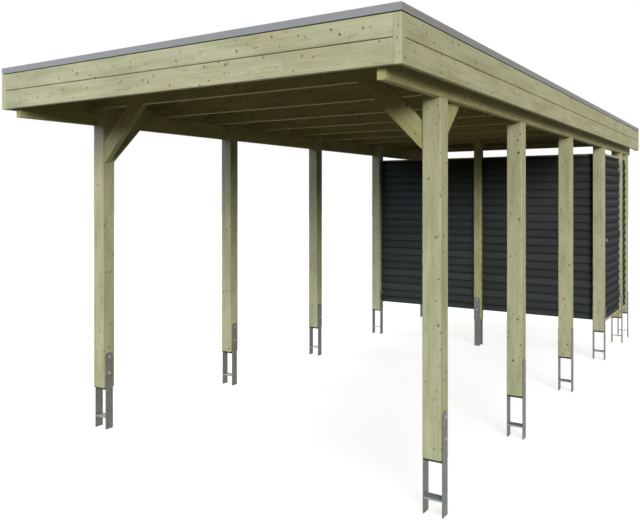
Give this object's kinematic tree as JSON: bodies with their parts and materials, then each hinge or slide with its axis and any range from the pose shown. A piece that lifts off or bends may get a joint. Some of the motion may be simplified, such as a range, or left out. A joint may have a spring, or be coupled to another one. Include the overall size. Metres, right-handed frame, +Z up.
{
  "type": "timber carport with storage room",
  "caption": "Flat-roofed timber carport on square posts in steel anchors, with knee braces, a trimmed fascia and a storage room clad in dark lap siding at the back.",
  "frame": {"origin": "under the middle of the roof, on the plane of the anchors' lower ends", "axes": "+X to the right seen from the front, +Y from the open front to the storage room, +Z up"},
  "size_m": [3.14, 7.06, 2.729],
  "materials": {
    "impregnated_pine": "matte",
    "anthracite_siding": "satin",
    "galvanised_steel": "satin",
    "trim_aluminium": "satin",
    "roof_membrane": "matte",
    "handle_aluminium": "satin"
  },
  "bodies": {
    "frame": {"left_post_1": "impregnated_pine", "left_post_2": "impregnated_pine", "left_post_3": "impregnated_pine", "left_post_4": "impregnated_pine", "left_post_5": "impregnated_pine", "right_post_1": "impregnated_pine", "right_post_2": "impregnated_pine", "right_post_3": "impregnated_pine", "right_post_4": "impregnated_pine", "right_post_5": "impregnated_pine", "room_front_post": "impregnated_pine", "room_rear_post": "impregnated_pine", "door_post": "impregnated_pine", "left_purlin": "impregnated_pine", "right_purlin": "impregnated_pine", "rafters": "impregnated_pine", "left_knee_braces": "impregnated_pine", "right_knee_braces": "impregnated_pine", "roof_boards": "impregnated_pine", "corner_blocks": "impregnated_pine", "front_fascia": "impregnated_pine", "rear_fascia": "impregnated_pine", "left_fascia": "impregnated_pine", "right_fascia": "impregnated_pine", "wall_frames": "impregnated_pine", "room_front_left_siding": "anthracite_siding", "room_front_right_siding": "anthracite_siding", "room_rear_left_siding": "anthracite_siding", "room_rear_right_siding": "anthracite_siding", "room_left_siding": "anthracite_siding", "room_right_siding": "anthracite_siding", "left_post_anchors": "galvanised_steel", "right_post_anchors": "galvanised_steel", "room_post_anchors": "galvanised_steel", "post_hinge_leaves": "galvanised_steel", "front_trim": "trim_aluminium", "rear_trim": "trim_aluminium", "left_trim": "trim_aluminium", "right_trim": "trim_aluminium", "roof_membrane": "roof_membrane"},
    "door": {"door_siding": "anthracite_siding", "door_frame": "impregnated_pine", "door_hinge_leaves": "galvanised_steel", "door_handle": "handle_aluminium"}
  },
  "joints": [
    {"name": "door_hinge", "type": "hinge", "parent": "frame", "child": "door", "pos_m": [1.453, 2.866, 1.363], "axis": [0, 0, 1], "range_deg": [0, 110]}
  ]
}
